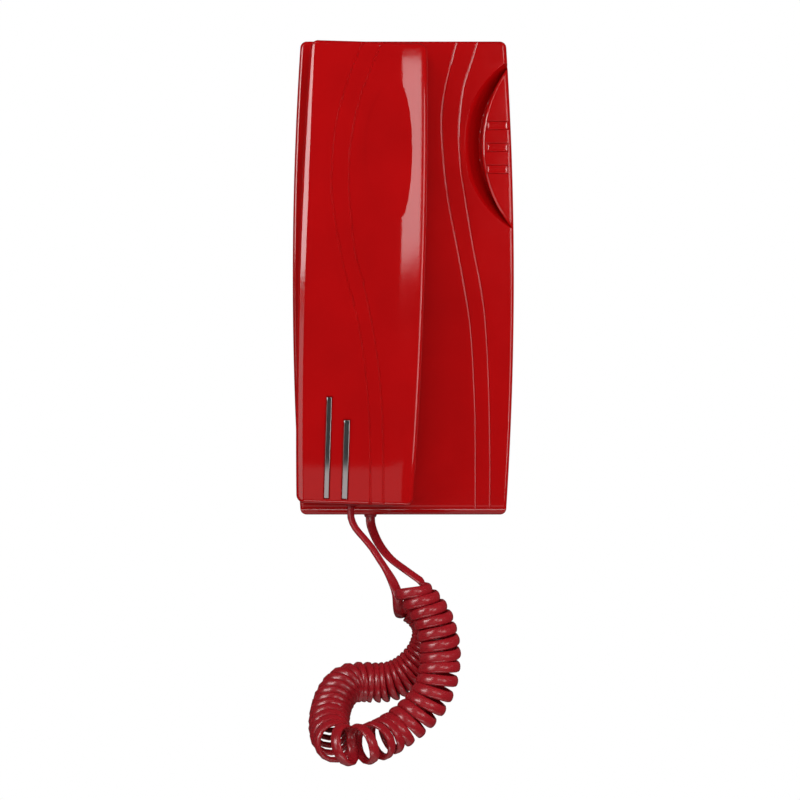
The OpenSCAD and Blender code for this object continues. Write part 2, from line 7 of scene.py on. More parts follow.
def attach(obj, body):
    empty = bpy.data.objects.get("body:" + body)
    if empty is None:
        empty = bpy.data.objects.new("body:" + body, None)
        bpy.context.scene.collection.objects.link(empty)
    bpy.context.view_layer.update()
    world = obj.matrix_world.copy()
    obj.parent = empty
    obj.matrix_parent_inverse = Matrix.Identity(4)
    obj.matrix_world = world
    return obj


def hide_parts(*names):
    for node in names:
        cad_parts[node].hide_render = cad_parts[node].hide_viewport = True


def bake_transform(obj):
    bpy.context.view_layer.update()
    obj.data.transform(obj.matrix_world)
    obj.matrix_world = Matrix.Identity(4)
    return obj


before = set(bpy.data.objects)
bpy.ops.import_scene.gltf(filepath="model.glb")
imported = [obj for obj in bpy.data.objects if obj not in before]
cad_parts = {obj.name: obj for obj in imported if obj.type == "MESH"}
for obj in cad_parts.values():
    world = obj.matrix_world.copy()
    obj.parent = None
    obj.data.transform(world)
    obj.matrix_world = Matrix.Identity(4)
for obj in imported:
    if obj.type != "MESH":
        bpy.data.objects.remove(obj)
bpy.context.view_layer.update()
mm = 0.001


def pickNone():
    if bpy.context.mode != "OBJECT":
        bpy.ops.object.mode_set(mode="OBJECT")
    bpy.ops.object.select_all(action="DESELECT")


def pick(piece, *more):
    pickNone()
    for each in (piece, *more):
        each.select_set(True)
    bpy.context.view_layer.objects.active = piece


def named(name):
    piece = bpy.context.active_object
    piece.name = name
    piece.data.name = name
    return piece


def settle(piece):  # place, turn and size go into the mesh
    pick(piece)
    bpy.ops.object.transform_apply(location=True, rotation=True, scale=True)
    return piece


def clean(piece, outward=True):
    pick(piece)
    bpy.ops.object.mode_set(mode="EDIT")
    bpy.ops.mesh.select_all(action="SELECT")
    bpy.ops.mesh.remove_doubles(threshold=0.00001)
    if outward:
        bpy.ops.mesh.normals_make_consistent(inside=False)
    bpy.ops.object.mode_set(mode="OBJECT")
    return piece


def applyAll(piece):
    pick(piece)
    for step in list(piece.modifiers):
        bpy.ops.object.modifier_apply(modifier=step.name)
    return piece


def smooth(piece, angle=35):
    pick(piece)
    bpy.ops.object.shade_smooth_by_angle(angle=radians(angle))
    return piece


def evenShading(piece, angle=35):  # large flat faces keep their own direction next to small roundings
    smooth(piece, angle)
    step = piece.modifiers.new("evenShading", "WEIGHTED_NORMAL")
    step.keep_sharp = True
    step.weight = 100
    return applyAll(piece)


def chooseFaces(piece, test):
    pick(piece)
    bpy.ops.object.mode_set(mode="EDIT")
    bpy.ops.mesh.select_mode(type="FACE")
    bpy.ops.mesh.select_all(action="DESELECT")
    bpy.ops.object.mode_set(mode="OBJECT")
    for face in piece.data.polygons:
        face.select = test(face)
    bpy.ops.object.mode_set(mode="EDIT")


def chooseEdges(piece, test):
    pick(piece)
    bpy.ops.object.mode_set(mode="EDIT")
    bpy.ops.mesh.select_mode(type="EDGE")
    bpy.ops.mesh.select_all(action="DESELECT")
    bpy.ops.object.mode_set(mode="OBJECT")
    spots = piece.data.vertices
    for edge in piece.data.edges:
        edge.select = test(spots[edge.vertices[0]].co, spots[edge.vertices[1]].co)
    bpy.ops.object.mode_set(mode="EDIT")


def cut(piece, *tools, how="DIFFERENCE"):
    for tool in tools:
        step = piece.modifiers.new("cut", "BOOLEAN")
        step.operation = how
        step.solver = "EXACT"
        step.object = tool
        applyAll(piece)
        bpy.data.objects.remove(tool)
    return piece


def roundEdges(piece, width, segments=2, angle=40):
    step = piece.modifiers.new("roundEdges", "BEVEL")
    step.width = width
    step.segments = segments
    step.limit_method = "ANGLE"
    step.angle_limit = radians(angle)
    step.use_clamp_overlap = True
    return applyAll(piece)


# points are x and z, depths are measured from the wall, all in mm
def outlinePlate(name, points, back, front, frontPoints=None):
    pickNone()
    bpy.ops.mesh.primitive_circle_add(vertices=len(points), fill_type="NGON", rotation=(pi / 2, 0, 0))
    plate = settle(named(name))
    for spot, (x, z) in zip(plate.data.vertices, points):
        spot.co = (x * mm, -back * mm, z * mm)
    pick(plate)
    bpy.ops.object.mode_set(mode="EDIT")
    bpy.ops.mesh.select_all(action="SELECT")
    bpy.ops.mesh.extrude_region_move(TRANSFORM_OT_translate={"value": (0, -(front - back) * mm, 0)})
    bpy.ops.object.mode_set(mode="OBJECT")
    if frontPoints:
        level = -(front + back) / 2 * mm
        for spot in plate.data.vertices:
            if spot.co.y < level:
                gaps = [(spot.co.x - x * mm) ** 2 + (spot.co.z - z * mm) ** 2 for x, z in points]
                x, z = frontPoints[gaps.index(min(gaps))]
                spot.co = (x * mm, -front * mm, z * mm)
    return clean(plate)


def roundRod(name, radius, x, z, back, front, sides=64):
    pickNone()
    bpy.ops.mesh.primitive_cylinder_add(vertices=sides, radius=radius * mm, depth=(front - back) * mm,
                                        location=(x * mm, -(front + back) / 2 * mm, z * mm),
                                        rotation=(pi / 2, 0, 0))
    return settle(named(name))


def box(name, x, z, back, front):
    pickNone()
    bpy.ops.mesh.primitive_cube_add(size=1, location=(sum(x) / 2 * mm, -(back + front) / 2 * mm,
                                                      sum(z) / 2 * mm))
    piece = named(name)
    piece.scale = ((x[1] - x[0]) * mm, (front - back) * mm, (z[1] - z[0]) * mm)
    return settle(piece)


def placed(piece, matrix):
    piece.data.transform(matrix)
    piece.data.update()
    return piece


def shaderFor(name):
    material = bpy.data.materials.new(name)
    material.use_nodes = True
    nodes = material.node_tree.nodes
    return material, nodes, material.node_tree.links, nodes["Principled BSDF"]


def noiseOn(nodes, links, scale, detail=3, rough=0.5, stretch=(1, 1, 1)):
    where = nodes.new("ShaderNodeTexCoord")
    mapping = nodes.new("ShaderNodeMapping")
    mapping.inputs["Scale"].default_value = stretch
    noise = nodes.new("ShaderNodeTexNoise")
    noise.inputs["Scale"].default_value = scale
    noise.inputs["Detail"].default_value = detail
    noise.inputs["Roughness"].default_value = rough
    links.new(where.outputs["Object"], mapping.inputs["Vector"])
    links.new(mapping.outputs["Vector"], noise.inputs["Vector"])
    return noise


def rampOn(nodes, links, source, stops):
    ramp = nodes.new("ShaderNodeValToRGB")
    ramp.color_ramp.elements[0].position, ramp.color_ramp.elements[0].color = stops[0][0], stops[0][1]
    ramp.color_ramp.elements[1].position, ramp.color_ramp.elements[1].color = stops[-1][0], stops[-1][1]
    for place, colour in stops[1:-1]:
        ramp.color_ramp.elements.new(place).color = colour
    links.new(source, ramp.inputs["Fac"])
    return ramp


def grey(value):
    return (value, value, value, 1)


def shade(colour, factor):
    return tuple(min(1, c * factor) for c in colour[:3]) + (1,)


def mouldedPlastic(name, colour, roughness=0.2, coat=0.35, spread=0.06, peel=0.02, grain=900):
    material, nodes, links, shader = shaderFor(name)
    cloud = noiseOn(nodes, links, 38, 4)
    tint = rampOn(nodes, links, cloud.outputs["Fac"],
                  [(0.3, shade(colour, 1 - spread)), (0.7, shade(colour, 1 + spread))])
    links.new(tint.outputs["Color"], shader.inputs["Base Color"])
    smudge = noiseOn(nodes, links, 75, 6, 0.65)
    gloss = rampOn(nodes, links, smudge.outputs["Fac"],
                   [(0.35, grey(roughness * 0.85)), (0.75, grey(roughness * 1.35))])
    links.new(gloss.outputs["Color"], shader.inputs["Roughness"])
    skin = noiseOn(nodes, links, grain, 2)
    bump = nodes.new("ShaderNodeBump")
    bump.inputs["Strength"].default_value = peel
    bump.inputs["Distance"].default_value = 0.0004
    links.new(skin.outputs["Fac"], bump.inputs["Height"])
    links.new(bump.outputs["Normal"], shader.inputs["Normal"])
    shader.inputs["Coat Weight"].default_value = coat
    shader.inputs["Coat Roughness"].default_value = 0.06
    shader.inputs["Specular IOR Level"].default_value = 0.5
    return material


def brightMetal(name, colour, roughness, streak=(1, 1, 1), grain=1400):
    material, nodes, links, shader = shaderFor(name)
    shader.inputs["Metallic"].default_value = 1
    streaks = noiseOn(nodes, links, grain, 3, 0.6, streak)
    tint = rampOn(nodes, links, streaks.outputs["Fac"],
                  [(0.3, shade(colour, 0.9)), (0.7, shade(colour, 1.04))])
    links.new(tint.outputs["Color"], shader.inputs["Base Color"])
    gloss = rampOn(nodes, links, streaks.outputs["Fac"],
                   [(0.3, grey(roughness * 0.7)), (0.7, grey(roughness * 1.3))])
    links.new(gloss.outputs["Color"], shader.inputs["Roughness"])
    bump = nodes.new("ShaderNodeBump")
    bump.inputs["Strength"].default_value = 0.04
    bump.inputs["Distance"].default_value = 0.0002
    links.new(streaks.outputs["Fac"], bump.inputs["Height"])
    links.new(bump.outputs["Normal"], shader.inputs["Normal"])
    return material


def circuitBoard(name):
    material, nodes, links, shader = shaderFor(name)
    where = nodes.new("ShaderNodeTexCoord")
    tracks = nodes.new("ShaderNodeTexBrick")
    tracks.inputs["Scale"].default_value = 160
    tracks.inputs["Mortar Size"].default_value = 0.03
    tracks.inputs["Color1"].default_value = (0.012, 0.11, 0.035, 1)
    tracks.inputs["Color2"].default_value = (0.02, 0.15, 0.05, 1)
    tracks.inputs["Mortar"].default_value = (0.05, 0.26, 0.09, 1)
    turn = nodes.new("ShaderNodeMapping")
    turn.inputs["Rotation"].default_value = (pi / 2, 0, 0)
    links.new(where.outputs["Object"], turn.inputs["Vector"])
    links.new(turn.outputs["Vector"], tracks.inputs["Vector"])
    links.new(tracks.outputs["Color"], shader.inputs["Base Color"])
    bump = nodes.new("ShaderNodeBump")
    bump.inputs["Strength"].default_value = 0.2
    bump.inputs["Distance"].default_value = 0.0001
    links.new(tracks.outputs["Fac"], bump.inputs["Height"])
    links.new(bump.outputs["Normal"], shader.inputs["Normal"])
    shader.inputs["Roughness"].default_value = 0.35
    shader.inputs["Coat Weight"].default_value = 0.3
    return material


colours = {
    "shell": (0.52, 0.0025, 0.0035),
    "rearCover": (0.40, 0.003, 0.004),
    "cord": (0.42, 0.012, 0.020),
    "boot": (0.34, 0.010, 0.018),
    # chrome tinted pink: painted reflection of the red shell around the bars, not a colour of the metal
    "chromeRedReflection": (0.90, 0.80, 0.80),
    "steel": (0.62, 0.62, 0.64),
    "brass": (0.78, 0.55, 0.22),
    "black": (0.022, 0.022, 0.024),
    "foam": (0.05, 0.05, 0.055),
    "terminal": (0.05, 0.13, 0.62),
    "winding": (0.68, 0.45, 0.08),
    "sleeve": (0.02, 0.03, 0.13),
    "wire": (0.34, 0.34, 0.33),
}
shellRed = mouldedPlastic("shellRed", colours["shell"], roughness=0.065, coat=0.12)
rearRed = mouldedPlastic("rearRed", colours["rearCover"], roughness=0.34, coat=0.1, peel=0.08)
cordRed = mouldedPlastic("cordRed", colours["cord"], roughness=0.26, coat=0.25, peel=0.012, grain=1500)
bootRed = mouldedPlastic("bootRed", colours["boot"], roughness=0.42, coat=0.05, peel=0.12, grain=1800)
# this chrome carries a painted red reflection in its base colour
chromeRedReflection = brightMetal("chromeRedReflection", colours["chromeRedReflection"], 0.09, (6, 6, 0.4))
zincSteel = brightMetal("zincSteel", colours["steel"], 0.28)
springSteel = brightMetal("springSteel", colours["steel"], 0.22, (2, 2, 2))
brassScrew = brightMetal("brassScrew", colours["brass"], 0.25)
boardGreen = circuitBoard("boardGreen")
blackPlastic = mouldedPlastic("blackPlastic", colours["black"], 0.42, 0.05, 0.2, 0.15, 1600)
softFoam = mouldedPlastic("softFoam", colours["foam"], 0.8, 0.0, 0.25, 0.5, 2400)
terminalBlue = mouldedPlastic("terminalBlue", colours["terminal"], 0.4, 0.05, 0.08, 0.1)
windingTape = mouldedPlastic("windingTape", colours["winding"], 0.5, 0.1, 0.12, 0.2, 700)
sleeveBlue = mouldedPlastic("sleeveBlue", colours["sleeve"], 0.25, 0.2, 0.1, 0.05)
wireGrey = mouldedPlastic("wireGrey", colours["wire"], 0.4, 0.1, 0.12, 0.05)


def dress(piece, material):
    piece.data.materials.clear()
    piece.data.materials.append(material)
    return piece


nodeFinish = {
    "base_rear_cover": rearRed, "cover_screw": zincSteel, "main_board": boardGreen, "board_screws": zincSteel,
    "terminal_block": terminalBlue, "terminal_screws": brassScrew, "call_buzzer": blackPlastic,
    "audio_transformer": windingTape, "line_capacitor": sleeveBlue, "hook_plunger": blackPlastic,
    "hook_spring": springSteel, "hook_switch": blackPlastic, "key_board": boardGreen,
    "key_switches": blackPlastic, "key_board_screws": zincSteel, "key_wires": wireGrey,
    "base_strain_relief": bootRed, "base_wires": wireGrey, "handset_back_shell": shellRed,
    "handset_screws": zincSteel, "screw_caps": shellRed, "receiver_capsule": blackPlastic,
    "receiver_seal": softFoam, "microphone_capsule": zincSteel, "microphone_boot": softFoam,
    "ballast_weight": zincSteel, "handset_strain_relief": bootRed, "handset_wires": wireGrey,
}
for nodeName, finish in nodeFinish.items():
    dress(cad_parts[nodeName], finish)
print("materials done")

view = {"distance": 1197, "side": -1.49, "height": -55.08, "across": 361.2, "faceDepth": 29}
cameraData = bpy.data.cameras.new("camera")
camera = bpy.data.objects.new("camera", cameraData)
bpy.context.scene.collection.objects.link(camera)
camera.location = (view["side"] * mm, -(view["faceDepth"] + view["distance"]) * mm, view["height"] * mm)
camera.rotation_euler = (pi / 2, 0, 0)
cameraData.sensor_width = 36
cameraData.lens = 36 * view["distance"] / view["across"]
cameraData.clip_end = 50
bpy.context.scene.camera = camera

lamps = [
    # place in metres, size in metres, power in watts
    {"name": "leftBox", "at": (-1.05, -0.95, 0.3), "size": (0.66, 0.42), "power": 6.6, "sheen": True},
    {"name": "leftHigh", "at": (-0.78, -1.15, 0.55), "size": (0.16, 0.75), "power": 2.8, "sheen": True},
    {"name": "leftFill", "at": (-1.0, -0.8, 0.3), "size": (0.5, 0.8), "power": 3.0, "soft": True},
    {"name": "leftLow", "at": (-1.05, -0.95, -0.25), "size": (0.45, 0.62), "power": 1.3},
    {"name": "rightBox", "at": (1.5, -0.42, 0.3), "size": (0.4, 1.1), "power": 8, "soft": True},
    {"name": "rightStrip", "at": (0.76, -1.15, 0.03), "size": (0.26, 0.46), "power": 0.95},
    {"name": "rightTall", "at": (1.0, -1.06, 0.04), "size": (0.2, 0.42), "power": 1.45},
    {"name": "nearRight", "at": (0.255, -1.0, 0.165), "size": (0.29, 0.23), "power": 0.88},
    {"name": "lowCard", "at": (-0.05, -1.3, -0.42), "size": (0.9, 0.5), "power": 0.5},
    {"name": "floorCard", "at": (0.0, -0.75, -1.2), "size": (1.2, 0.24), "power": 3},
    {"name": "topBox", "at": (-0.12, -0.75, 0.52), "size": (0.7, 0.3), "power": 3.1, "soft": True},
    {"name": "backLeft", "at": (-1.3, 1.2, 0.5), "size": (1.2, 1.4), "power": 9, "soft": True},
    {"name": "backRight", "at": (1.3, 1.2, 0.5), "size": (1.2, 1.4), "power": 9, "soft": True},
]
aim = Vector((0, -0.03, -0.05))
for lamp in lamps:
    lightData = bpy.data.lights.new(lamp["name"], "AREA")
    lightData.shape = "RECTANGLE"
    lightData.size, lightData.size_y = lamp["size"]
    lightData.energy = lamp["power"]
    light = bpy.data.objects.new(lamp["name"], lightData)
    bpy.context.scene.collection.objects.link(light)
    light.location = lamp["at"]
    light.rotation_euler = (aim - Vector(lamp["at"])).to_track_quat("-Z", "Y").to_euler()
    light.visible_glossy = not lamp.get("soft", False)  # a soft lamp shows in no reflection
    light.visible_diffuse = not lamp.get("sheen", False)  # and this kind shows in reflections only
    light.visible_camera = False

world = bpy.data.worlds.new("studioAir")
bpy.context.scene.world = world
world.use_nodes = True
airNodes, airLinks = world.node_tree.nodes, world.node_tree.links
airShade = airNodes["Background"]
airShade.inputs["Color"].default_value = grey(1)
seenAir = airNodes.new("ShaderNodeBackground")
seenAir.inputs["Color"].default_value = grey(1)
seenAir.inputs["Strength"].default_value = 1.0
airShade.inputs["Strength"].default_value = 0.04
rays = airNodes.new("ShaderNodeLightPath")
mixAir = airNodes.new("ShaderNodeMixShader")
airLinks.new(rays.outputs["Is Camera Ray"], mixAir.inputs[0])
airLinks.new(airShade.outputs[0], mixAir.inputs[1])
airLinks.new(seenAir.outputs[0], mixAir.inputs[2])
airLinks.new(mixAir.outputs[0], airNodes["World Output"].inputs["Surface"])
bpy.context.scene.view_settings.view_transform = "Standard"
bpy.context.scene.view_settings.look = "None"

pickNone()
bpy.ops.mesh.primitive_plane_add(size=2.4, location=(0, 0, -1.5))
studioFloor = settle(named("studioFloor"))
dress(studioFloor, mouldedPlastic("paleFloor", (0.86, 0.86, 0.86), 0.6, 0.0, 0.02, 0.02, 40))
print("camera and light done")

cordPlan = {
    "width": 4.8, "thick": 2.4, "coilAcross": 18.6, "ringsPerTurn": 16, "sides": 16,
    "bootEnd": (-15, -16, -108.5),
    "baseLead": [(-14.9, -16.2, -111), (-13.9, -17.8, -114.6), (-11, -22, -120.5), (-6, -28, -126.5),
                 (1, -34, -131.5), (7, -38.4, -135.5)],
    "handsetLead": [(-2.4, -35.5, -146.6), (-2.8, -38, -142), (-4.4, -39.6, -137.2), (-7.4, -40.6, -131.5),
                    (-10.6, -41, -126.4), (-14, -41, -121.2), (-17.6, -41, -116.8), (-21.4, -41, -112.3),
                    (-23.4, -41, -107.6), (-23.4, -41, -102.6)],
    "coil": [(3.2, -46, -138.7), (5.4, -46.2, -141.1), (8.3, -46.5, -144.7), (11.1, -47, -148.6),
             (13.3, -47, -152.8), (15, -48, -158.4), (16.2, -48, -164.4), (16.3, -48, -170.6),
             (15.6, -49, -176.8), (13.8, -50, -183), (10, -51, -189.6),
             (4, -52, -195.8), (-3.4, -54, -201.2), (-9, -58, -204), (-12.8, -62, -205.2), (-17, -66, -205.6),
             (-22, -68, -205.8), (-27, -66, -205.6), (-30.6, -61, -204.8), (-32.4, -54, -202.2),
             (-33, -47, -198.2), (-32.4, -41, -193.6), (-30.8, -36, -189.2), (-28, -31, -185.4),
             (-24, -27, -183.2), (-18.6, -25, -182.8), (-12.6, -24, -183.2), (-6, -24, -182.6),
             (0, -24, -180.2), (5.4, -24, -176),
             (9.6, -24, -171), (12, -24, -166), (13, -24, -160.4), (12, -24, -155.2), (8.8, -24, -150.6),
             (4.4, -24, -147)],
    # distance along the coil's middle line, pitch, lean of the flat cord in degrees, how level the turns hang
    "pitch": [(0, 5.3, 4, 1), (5, 5.3, 4, 0.8), (24, 5.3, 4, 0.65), (44, 5.7, 4, 0.1), (78, 5.7, 8, 0),
              (90, 8.6, 0, 0), (106, 8.6, 0, 0), (116, 5.2, 12, 0), (128, 4.1, 36, 0), (152, 3.7, 42, 0),
              (172, 3.3, 46, 0), (192, 3.0, 50, 0), (222, 3.0, 50, 0)],
    "startTurn": -40, "baseWide": (0.85, 0.53, 0), "outWide": (1, 0.1, 0), "handsetWide": (0.5, 0.87, 0),
    "length": 2.49,  # metres, measured along the wound cord
}


def alongTable(table, s):
    for (s0, *low), (s1, *high) in zip(table, table[1:]):
        if s <= s1:
            share = max(0, (s - s0) / (s1 - s0))
            return [a + (b - a) * share for a, b in zip(low, high)]
    return table[-1][1:]


def throughPoints(points, step):  # one smooth line through the points, a ring every step
    points = [Vector(p) for p in points]
    ends = [2 * points[0] - points[1], *points, 2 * points[-1] - points[-2]]
    line = []
    for a, b, c, d in zip(ends, ends[1:], ends[2:], ends[3:]):
        count = max(2, round((c - b).length / step))
        for i in range(count):
            t = i / count
            line.append(0.5 * (2 * b + (c - a) * t + (2 * a - 5 * b + 4 * c - d) * t * t
                               + (3 * b - a - 3 * c + d) * t ** 3))
    return [*line, points[-1]]


def bridgeLine(start, startWay, end, endWay, step, pull):  # leaves and arrives along the two ways
    count = max(4, round((end - start).length / step))
    a, b = startWay.normalized() * pull, endWay.normalized() * pull
    line = []
    for i in range(1, count):
        t = i / count
        line.append((2 * t ** 3 - 3 * t * t + 1) * start + (t ** 3 - 2 * t * t + t) * a
                    + (3 * t * t - 2 * t ** 3) * end + (t ** 3 - t * t) * b)
    return line


def coilTurns():  # centre, wide direction and outward direction of every ring in the curled part
    middle = throughPoints(cordPlan["coil"], 0.2)
    across, hang = Vector((1, 0, 0)), Vector((0, 0, -1))
    turned, travelled, places = radians(cordPlan["startTurn"]), 0, []
    ring = 2 * pi / cordPlan["ringsPerTurn"]
    nextRing = turned
    for here, there in zip(middle, middle[1:]):
        step = (there - here).length
        pitch, lean, level = alongTable(cordPlan["pitch"], travelled)
        way = (there - here).normalized().lerp(hang, level).normalized()
        across = (across - across.dot(way) * way).normalized()
        up = way.cross(across)
        lean = radians(lean)
        reach = sqrt((cordPlan["width"] / 2 * sin(lean)) ** 2 + (cordPlan["thick"] / 2 * cos(lean)) ** 2)
        radius = cordPlan["coilAcross"] / 2 - reach
        gain = 2 * pi * step / pitch
        while nextRing <= turned + gain:
            spot = here.lerp(there, (nextRing - turned) / gain)
            outward = across * cos(nextRing) + up * sin(nextRing)
            places.append((spot + outward * radius, way * cos(lean) + outward * sin(lean), outward))
            nextRing += ring
        turned += gain
        travelled += step
    while places[-1][2].dot(Vector((-0.63, 0, -0.72))) < 0.9:
        places.pop()
    return places


def cordRings():  # centre and wide direction of every ring
    turns = [place[:2] for place in coilTurns()]
    first, last = turns[0][0], turns[-1][0]
    inLead = throughPoints([cordPlan["bootEnd"], *cordPlan["baseLead"]], 2.4)
    outLead = throughPoints(cordPlan["handsetLead"], 2.4)
    inBridge = bridgeLine(inLead[-1], inLead[-1] - inLead[-2], first, turns[1][0] - first, 1.2, 5)
    outBridge = bridgeLine(last, last - turns[-2][0], outLead[0], outLead[1] - outLead[0], 1.5, 14)
    inWide, outWide, topWide = (Vector(cordPlan[key]) for key in ("baseWide", "outWide", "handsetWide"))
    if inWide.dot(turns[0][1]) < 0:
        inWide = -inWide
    if outWide.dot(turns[-1][1]) < 0:
        outWide, topWide = -outWide, -topWide
    rings = [(p, inWide) for p in inLead]
    rings += [(p, inWide.lerp(turns[0][1], (i + 1) / (len(inBridge) + 1))) for i, p in enumerate(inBridge)]
    rings += turns
    rings += [(p, turns[-1][1].lerp(outWide, (i + 1) / (len(outBridge) + 1))) for i, p in enumerate(outBridge)]
    rings += [(p, outWide.lerp(topWide, min(1, i / 8))) for i, p in enumerate(outLead)]
    return rings


def makeCord():
    rings = cordRings()
    sides = cordPlan["sides"]
    shape, faces, path = [], [], []
    for i, (centre, wide) in enumerate(rings):
        way = (rings[min(i + 1, len(rings) - 1)][0] - rings[max(i - 1, 0)][0]).normalized()
        wide = (wide - wide.dot(way) * way).normalized()
        thin = way.cross(wide)
        path.append(tuple(centre * mm))
        for k in range(sides):
            angle = 2 * pi * k / sides
            shape.append((centre + wide * cos(angle) * cordPlan["width"] / 2
                          + thin * sin(angle) * cordPlan["thick"] / 2) * mm)
    for i in range(len(rings) - 1):
        for k in range(sides):
            a, b = i * sides + k, i * sides + (k + 1) % sides
            faces.append((a, b, b + sides, a + sides))
    faces.append(tuple(reversed(range(sides))))
    faces.append(tuple(range((len(rings) - 1) * sides, len(rings) * sides)))
    mesh = bpy.data.meshes.new("curlyCord")
    mesh.from_pydata(shape, [], faces)
    cord = bpy.data.objects.new("curlyCord", mesh)
    bpy.context.scene.collection.objects.link(cord)
    clean(cord)
    smooth(cord, 60)
    dress(cord, cordRed)
    length = sum((Vector(b) - Vector(a)).length for a, b in zip(path, path[1:]))
    print("cord length", round(length, 3), "rings", len(rings))
    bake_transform(cord)
    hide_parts("cord_lead_base", "cord_coil", "cord_lead_handset")
    return cord


makeCord()
print("cord done")

base = {"width": 100, "bow": 3.6, "height": 214, "corner": 3, "wall": 2.2, "face": 29, "edge": 1.7,
        "toe": 4.5}
handset = {"width": 56, "bow": 2.2, "height": 205.5, "corner": 3.5, "wall": 2, "split": 39.8, "front": 51.8,
           "x": -18.5, "z": 1.25, "lean": 1.8, "leftEdge": 0.9, "rightEdge": 1.3, "endEdge": 1.9}
hung = Matrix.Translation((handset["x"] * mm, 0, handset["z"] * mm)) @ Matrix.Rotation(
    radians(handset["lean"]), 4, "Y")


def sideAt(form, z):
    return form["width"] / 2 - form["bow"] * (2 * z / form["height"]) ** 2


def barrel(form, inset=0, steps=28, turns=9):  # bowed sides, flat ends, round corners
    top, r = form["height"] / 2 - inset, max(form["corner"] - inset, 0.8)
    rise = top - r
    side = [(sideAt(form, rise * i / steps) - inset, rise * i / steps) for i in range(-steps, steps + 1)]
    tip = side[-1][0] - r
    angles = [pi / 2 * i / turns for i in range(1, turns + 1)]
    turn = [(tip + r * cos(angle), rise + r * sin(angle)) for angle in angles]
    right = [(x, -z) for x, z in reversed(turn)] + side + turn
    return right + [(-x, z) for x, z in reversed(right)]


def slotOutline(r, z, rise, steps=32):  # a circle drawn out upwards
    low = [(r * cos(a), z + r * sin(a)) for a in (pi + pi * i / steps for i in range(steps + 1))]
    high = [(r * cos(a), z + rise + r * sin(a)) for a in (pi * i / steps for i in range(steps + 1))]
    return low + high


grooveBeads = [(1.4, 1.22), (0.38, 0.05)]  # radius and lift: a wide soft lip, then the groove itself


def grooveTool(name, points, depthAt, radius):  # a round bead that follows a line, to be cut from a face
    line = throughPoints([(x, 0, z) for x, z in points], 2.2)
    curve = bpy.data.curves.new(name, "CURVE")
    curve.dimensions = "3D"
    curve.bevel_depth = radius * mm
    curve.bevel_resolution = 3
    curve.use_fill_caps = True
    run = curve.splines.new("POLY")
    run.points.add(len(line) - 1)
    for spot, p in zip(run.points, line):
        spot.co = (p.x * mm, -depthAt(p.x, p.z) * mm, p.z * mm, 1)
    tool = bpy.data.objects.new(name, curve)
    bpy.context.scene.collection.objects.link(tool)
    pick(tool)
    bpy.ops.object.convert(target="MESH")
    return clean(bpy.context.active_object)


basePlan = {
    "grooves": [[(24.5, 108), (21.3, 95.5), (18.4, 82), (17.4, 71), (18.2, 54), (20.5, 35), (26.1, 5),
                 (30.3, -22), (32.2, -54), (32.6, -75), (32.6, -104)],
                [(34, 108), (30.6, 97), (27, 85), (25.2, 68), (25.7, 54), (27.1, 42.6), (31.4, 15.4),
                 (36.1, -10.4), (38.3, -40), (39.2, -78), (39.2, -104)]],
    "scoopAt": (71.6, 60.6), "scoopRim": 44.6, "scoopSlope": 0.85, "scoopGain": 0.05, "scoopDepth": 9,
    "scoopEnds": 1.8, "scoopStep": 0.6,
    "leafAt": (93.7, 60), "leafRadius": 58.2, "leafEdge": 1.2,
    "ear": (21.6, 72), "mouth": (19.6, -78), "wellRise": 5.68, "wellFloor": 20.2, "wellFlare": 0.6,
    "exitHole": (3.2, 8, -15, -16), "screwHole": (3.15, 4.4, 20, -8), "plunger": (4.8, -20),
    "keyAt": (42.5, 59), "keyPitch": 9.9, "window": (9.7, 3.9), "windowFlare": 0.2,
}


def turnedSolid(name, outline, x, z, steps):  # outline holds radius and distance from the wall
    mesh = bpy.data.meshes.new(name)
    mesh.from_pydata([((x + r) * mm, -depth * mm, z * mm) for r, depth in outline],
                     [(i, i + 1) for i in range(len(outline) - 1)], [])
    piece = bpy.data.objects.new(name, mesh)
    bpy.context.scene.collection.objects.link(piece)
    pick(piece)
    bpy.ops.object.mode_set(mode="EDIT")
    bpy.ops.mesh.select_all(action="SELECT")
    bpy.ops.mesh.spin(steps=steps, angle=2 * pi, center=(x * mm, 0, z * mm), axis=(0, 1, 0))
    bpy.ops.object.mode_set(mode="OBJECT")
    return clean(piece)


def scoopTool():  # a round hollow, steeper towards its two ends, without the leaf that stands in it
    plan, face = basePlan, base["face"]
    rim = plan["scoopRim"]
    steps = [i * plan["scoopStep"] for i in range(17)]
    falls = [min(plan["scoopDepth"], plan["scoopSlope"] * u + plan["scoopGain"] * u * u) for u in steps]
    hollow = [(0, face - plan["scoopDepth"])]
    hollow += [(rim - u, face - fall) for u, fall in reversed(list(zip(steps, falls)))]
    hollow += [(rim, face + 2), (0, face + 2)]
    bowl = turnedSolid("scoopTool", hollow, *plan["scoopAt"], 180)
    for spot in bowl.data.vertices:
        depth = face + spot.co.y / mm
        if depth > 0:
            share = (spot.co.z / mm - plan["scoopAt"][1]) / rim
            spot.co.y = -(face - min(plan["scoopDepth"], depth * (1 + plan["scoopEnds"] * share ** 2))) * mm
    r, edge, drop = plan["leafRadius"], plan["leafEdge"], plan["leafEdge"] * 0.4
    leaf = [(0, 10), (r, 10), (r, face - drop - 0.25), (r - 0.08, face - drop - 0.1),
            (r - 0.3, face - drop + 0.06), (r - edge + 0.3, face - 0.1), (r - edge, face - 0.01),
            (r - edge - 0.3, face), (r - edge - 0.3, face + 4), (0, face + 4)]
    return cut(bowl, turnedSolid("leafTool", leaf, *plan["leafAt"], 256))


